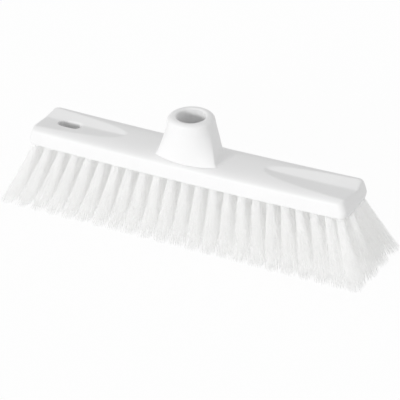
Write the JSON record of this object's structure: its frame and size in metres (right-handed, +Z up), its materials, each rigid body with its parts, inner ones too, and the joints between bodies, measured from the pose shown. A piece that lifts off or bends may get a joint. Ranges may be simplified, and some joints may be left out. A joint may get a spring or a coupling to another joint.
{
  "type": "indoor broom head",
  "caption": "Long broom head with flared bristle tufts under a moulded plastic block, a tapered stick socket on top, finger valleys and a hang hole at one end.",
  "frame": {"origin": "centre of the bristle footprint on the floor", "axes": "+X along the block, away from the hang hole; +Y to the back, away from the side that the socket leans to; +Z up, out of the stick socket"},
  "size_m": [0.3342, 0.0808, 0.1045],
  "materials": {
    "block_plastic": "smooth moulded, satin",
    "bristle": "fine filaments, matt"
  },
  "bodies": {
    "root": {"block": "block_plastic", "tuft_column_01": "bristle", "tuft_column_02_back": "bristle", "tuft_column_02_front": "bristle", "tuft_column_03_back": "bristle", "tuft_column_03_front": "bristle", "tuft_column_04_back": "bristle", "tuft_column_04_front": "bristle", "tuft_column_05": "bristle", "tuft_column_06": "bristle", "tuft_column_07": "bristle", "tuft_column_08": "bristle", "tuft_column_09": "bristle", "tuft_column_10": "bristle", "tuft_column_11": "bristle", "tuft_column_12": "bristle", "tuft_column_13": "bristle", "tuft_column_14": "bristle", "tuft_column_15": "bristle", "tuft_column_16": "bristle", "tuft_column_17": "bristle", "tuft_column_18": "bristle", "tuft_column_19": "bristle", "tuft_column_20": "bristle", "tuft_column_21": "bristle", "tuft_column_22": "bristle", "tuft_column_23": "bristle"}
  },
  "joints": []
}
